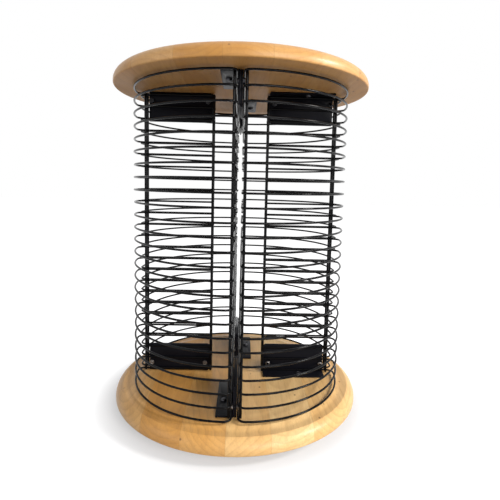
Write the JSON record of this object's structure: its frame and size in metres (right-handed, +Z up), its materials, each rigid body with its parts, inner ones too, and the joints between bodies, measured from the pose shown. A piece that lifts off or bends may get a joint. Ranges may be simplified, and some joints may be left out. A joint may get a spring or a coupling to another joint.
{
  "type": "rotating media tower",
  "caption": "Round wooden base and top with quarter-round black wire racks between them, turning on a ball swivel to store flat disc cases on stacked shelf wires.",
  "frame": {"origin": "on the floor, at the foot of the axis that the tower turns about", "axes": "+Z up along the turning axis, -Y to the front, +X to the right seen from the front"},
  "size_m": [0.313, 0.313, 0.4161],
  "materials": {
    "turned_wood": "satin lacquer on laminated hardwood",
    "black_paint": "gloss black paint on steel wire and sheet",
    "zinc_steel": "zinc plated, slightly dull",
    "black_steel": "satin black pressed steel",
    "black_rubber": "matt"
  },
  "bodies": {
    "stand": {"swivel_lower_plate": "black_steel", "rubber_foot_1": "black_rubber", "rubber_foot_2": "black_rubber", "rubber_foot_3": "black_rubber", "rubber_foot_4": "black_rubber"},
    "ball_ring": {"swivel_ball_ring": "zinc_steel"},
    "tower": {"back_left_lower_bracket": "black_paint", "back_left_lower_inner_bolt": "zinc_steel", "back_left_lower_outer_bolt": "zinc_steel", "back_left_lower_plate": "black_paint", "back_left_rack_bracket_side_inner": "black_paint", "back_left_rack_bracket_side_outer": "black_paint", "back_left_rack_plate_side_inner": "black_paint", "back_left_rack_plate_side_outer": "black_paint", "back_left_upper_bracket": "black_paint", "back_left_upper_inner_bolt": "zinc_steel", "back_left_upper_outer_bolt": "zinc_steel", "back_left_upper_plate": "black_paint", "back_right_lower_bracket": "black_paint", "back_right_lower_inner_bolt": "zinc_steel", "back_right_lower_outer_bolt": "zinc_steel", "back_right_lower_plate": "black_paint", "back_right_rack_bracket_side_inner": "black_paint", "back_right_rack_bracket_side_outer": "black_paint", "back_right_rack_plate_side_inner": "black_paint", "back_right_rack_plate_side_outer": "black_paint", "back_right_upper_bracket": "black_paint", "back_right_upper_inner_bolt": "zinc_steel", "back_right_upper_outer_bolt": "zinc_steel", "back_right_upper_plate": "black_paint", "base_disc": "turned_wood", "front_left_lower_bracket": "black_paint", "front_left_lower_inner_bolt": "zinc_steel", "front_left_lower_outer_bolt": "zinc_steel", "front_left_lower_plate": "black_paint", "front_left_rack_bracket_side_inner": "black_paint", "front_left_rack_bracket_side_outer": "black_paint", "front_left_rack_plate_side_inner": "black_paint", "front_left_rack_plate_side_outer": "black_paint", "front_left_upper_bracket": "black_paint", "front_left_upper_inner_bolt": "zinc_steel", "front_left_upper_outer_bolt": "zinc_steel", "front_left_upper_plate": "black_paint", "front_right_lower_bracket": "black_paint", "front_right_lower_inner_bolt": "zinc_steel", "front_right_lower_outer_bolt": "zinc_steel", "front_right_lower_plate": "black_paint", "front_right_rack_bracket_side_inner": "black_paint", "front_right_rack_bracket_side_outer": "black_paint", "front_right_rack_plate_side_inner": "black_paint", "front_right_rack_plate_side_outer": "black_paint", "front_right_upper_bracket": "black_paint", "front_right_upper_inner_bolt": "zinc_steel", "front_right_upper_outer_bolt": "zinc_steel", "front_right_upper_plate": "black_paint", "swivel_upper_plate": "black_steel", "top_disc": "turned_wood"}
  },
  "joints": [
    {"name": "tower_spin", "type": "hinge", "parent": "stand", "child": "tower", "pos_m": [0, 0, 0.008], "axis": [0, 0, 1], "continuous": true},
    {"name": "ball_ring_spin", "type": "hinge", "parent": "stand", "child": "ball_ring", "pos_m": [0, 0, 0.008], "axis": [0, 0, 1], "continuous": true}
  ],
  "couplings": [
    {"joint": "ball_ring_spin", "follows": "tower_spin", "ratio": 0.5}
  ]
}
